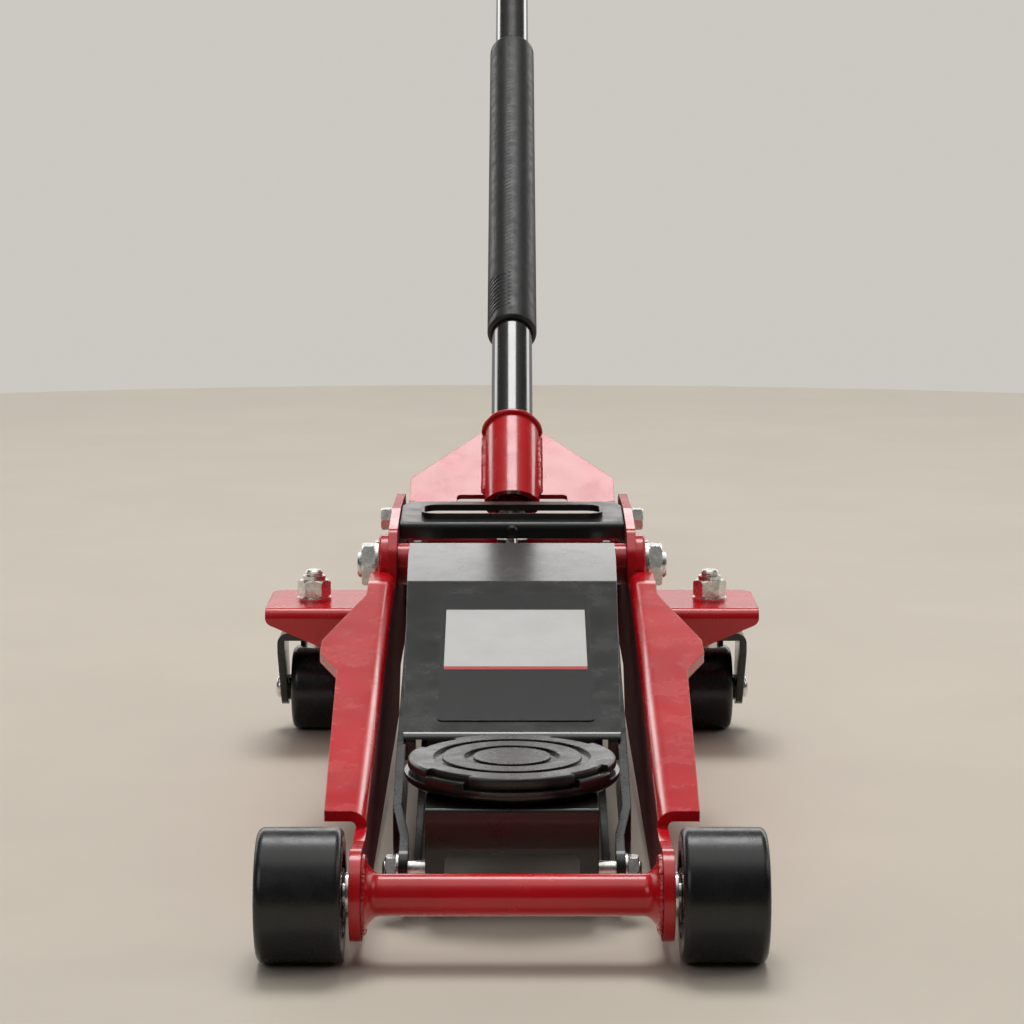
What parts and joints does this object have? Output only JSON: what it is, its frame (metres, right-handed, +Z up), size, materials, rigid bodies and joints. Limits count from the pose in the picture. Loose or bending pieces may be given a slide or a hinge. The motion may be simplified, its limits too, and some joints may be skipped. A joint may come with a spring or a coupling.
{
  "type": "floor jack",
  "caption": "Low-profile hydraulic floor jack: long wheeled frame, hinged lift arm with a self-levelling round saddle, pump unit, and a pump handle in a pivoting yoke.",
  "frame": {"origin": "middle of the bounding box in X and Y, on the floor (Z = 0)", "axes": "+Z up, +Y from the saddle end towards the end of the handle, +X to the right as seen from the saddle end looking along +Y"},
  "size_m": [0.339, 1.5836, 0.7292],
  "materials": {
    "red_paint": "glossy sprayed enamel",
    "black_paint": "gloss black enamel",
    "zinc_steel": "bright zinc plate",
    "bare_steel": "turned, lightly oiled",
    "polished_steel": "polished",
    "roller_black": "satin moulded",
    "pad_rubber": "matt",
    "foam": "fine closed-cell foam"
  },
  "bodies": {
    "frame": {"left_side_plate": "red_paint", "right_side_plate": "red_paint", "front_crossbar": "red_paint", "rear_crossbar": "red_paint", "front_axle": "zinc_steel", "axle_washers": "zinc_steel", "main_pivot_bolts": "zinc_steel", "pivot_spacers": "red_paint", "main_pivot_nuts": "zinc_steel", "tie_rod_anchor": "zinc_steel", "left_caster_arm": "red_paint", "right_caster_arm": "red_paint", "caster_kingpins": "zinc_steel", "caster_bearings": "bare_steel", "caster_nuts": "zinc_steel", "reservoir_tube": "black_paint", "ram_cylinder": "bare_steel", "power_unit_base": "black_paint", "power_unit_bolts": "zinc_steel", "filler_plug": "zinc_steel", "pump_spring": "bare_steel", "top_cover": "black_paint", "cover_screw": "zinc_steel", "yoke_pivot_bolts": "zinc_steel", "yoke_washers": "zinc_steel"},
    "lift_arm": {"left_arm_plate": "black_paint", "right_arm_plate": "black_paint", "arm_top_plate": "black_paint", "horn_plates": "black_paint", "horn_pin": "zinc_steel", "saddle_pin": "zinc_steel", "saddle_pin_nuts": "zinc_steel"},
    "arm_roller": {"horn_roller": "bare_steel"},
    "saddle_bracket": {"saddle_bracket": "black_paint", "tie_rod_studs": "zinc_steel"},
    "saddle": {"saddle_cup": "black_paint", "saddle_pad": "pad_rubber", "saddle_clip": "zinc_steel"},
    "tie_rods": {"tie_rods": "black_paint"},
    "ram": {"ram": "polished_steel"},
    "plunger": {"pump_plunger": "bare_steel"},
    "yoke": {"yoke_wings": "red_paint", "handle_socket": "red_paint", "cam_lugs": "red_paint", "cam_pin": "zinc_steel"},
    "cam_roller": {"cam_roller": "bare_steel"},
    "handle": {"handle_lower_tube": "black_paint", "handle_upper_tube": "black_paint", "foam_sleeve": "foam", "hand_grip": "pad_rubber", "handle_driver": "zinc_steel"},
    "valve_spindle": {"valve_spindle": "zinc_steel"},
    "left_front_roller": {"left_front_roller": "roller_black"},
    "right_front_roller": {"right_front_roller": "roller_black"},
    "left_caster": {"left_caster_fork": "black_paint", "left_caster_axle": "zinc_steel"},
    "right_caster": {"right_caster_fork": "black_paint", "right_caster_axle": "zinc_steel"},
    "left_caster_wheel": {"left_caster_wheel": "roller_black"},
    "right_caster_wheel": {"right_caster_wheel": "roller_black"}
  },
  "joints": [
    {"name": "arm_lift", "type": "hinge", "parent": "frame", "child": "lift_arm", "pos_m": [0, -0.25677, 0.13], "axis": [-1, 0, 0], "range_deg": [0, 50]},
    {"name": "saddle_level", "type": "hinge", "parent": "lift_arm", "child": "saddle_bracket", "pos_m": [0, -0.67477, 0.027], "axis": [-1, 0, 0], "range_deg": [-50, 0]},
    {"name": "tie_rod_swing", "type": "hinge", "parent": "frame", "child": "tie_rods", "pos_m": [0, -0.23587, 0.1232], "axis": [-1, 0, 0], "range_deg": [0, 50]},
    {"name": "saddle_turn", "type": "hinge", "parent": "saddle_bracket", "child": "saddle", "pos_m": [0, -0.62877, 0.0623], "axis": [0, 0, 1], "continuous": true},
    {"name": "ram_slide", "type": "slide", "parent": "frame", "child": "ram", "axis": [0, -1, 0], "range_m": [0, 0.0595]},
    {"name": "horn_roller_spin", "type": "hinge", "parent": "lift_arm", "child": "arm_roller", "pos_m": [0, -0.22719, 0.06656], "axis": [1, 0, 0], "continuous": true},
    {"name": "handle_pump", "type": "hinge", "parent": "frame", "child": "yoke", "pos_m": [0, -0.13177, 0.1435], "axis": [1, 0, 0], "range_deg": [0, 50]},
    {"name": "plunger_slide", "type": "slide", "parent": "frame", "child": "plunger", "axis": [0, 0, 1], "range_m": [0, 0.0187], "deforming": ["pump_spring"]},
    {"name": "cam_roller_spin", "type": "hinge", "parent": "yoke", "child": "cam_roller", "pos_m": [0, -0.11183, 0.1342], "axis": [1, 0, 0], "continuous": true},
    {"name": "handle_twist", "type": "hinge", "parent": "yoke", "child": "handle", "pos_m": [0, -0.13177, 0.1435], "axis": [0, 0.848, 0.5299], "range_deg": [0, 180]},
    {"name": "valve_turn", "type": "hinge", "parent": "frame", "child": "valve_spindle", "pos_m": [0, -0.13177, 0.1435], "axis": [0, 0.5446, 0.8387], "range_deg": [0, 180]},
    {"name": "left_front_roller_spin", "type": "hinge", "parent": "frame", "child": "left_front_roller", "pos_m": [-0.11, -0.75677, 0.035], "axis": [1, 0, 0], "continuous": true},
    {"name": "left_caster_swivel", "type": "hinge", "parent": "frame", "child": "left_caster", "pos_m": [-0.138, -0.20177, 0.075], "axis": [0, 0, 1], "continuous": true},
    {"name": "left_caster_wheel_spin", "type": "hinge", "parent": "left_caster", "child": "left_caster_wheel", "pos_m": [-0.138, -0.17777, 0.0295], "axis": [1, 0, 0], "continuous": true},
    {"name": "right_front_roller_spin", "type": "hinge", "parent": "frame", "child": "right_front_roller", "pos_m": [0.11, -0.75677, 0.035], "axis": [1, 0, 0], "continuous": true},
    {"name": "right_caster_swivel", "type": "hinge", "parent": "frame", "child": "right_caster", "pos_m": [0.138, -0.20177, 0.075], "axis": [0, 0, 1], "continuous": true},
    {"name": "right_caster_wheel_spin", "type": "hinge", "parent": "right_caster", "child": "right_caster_wheel", "pos_m": [0.138, -0.17777, 0.0295], "axis": [1, 0, 0], "continuous": true}
  ],
  "couplings": [
    {"joint": "saddle_level", "follows": "arm_lift", "ratio": -1},
    {"joint": "tie_rod_swing", "follows": "arm_lift", "ratio": 1},
    {"joint": "ram_slide", "follows": "arm_lift", "m_per_rad": 0.0678},
    {"joint": "plunger_slide", "follows": "handle_pump", "m_per_rad": 0.0213},
    {"joint": "valve_turn", "follows": "handle_twist", "ratio": 1}
  ]
}
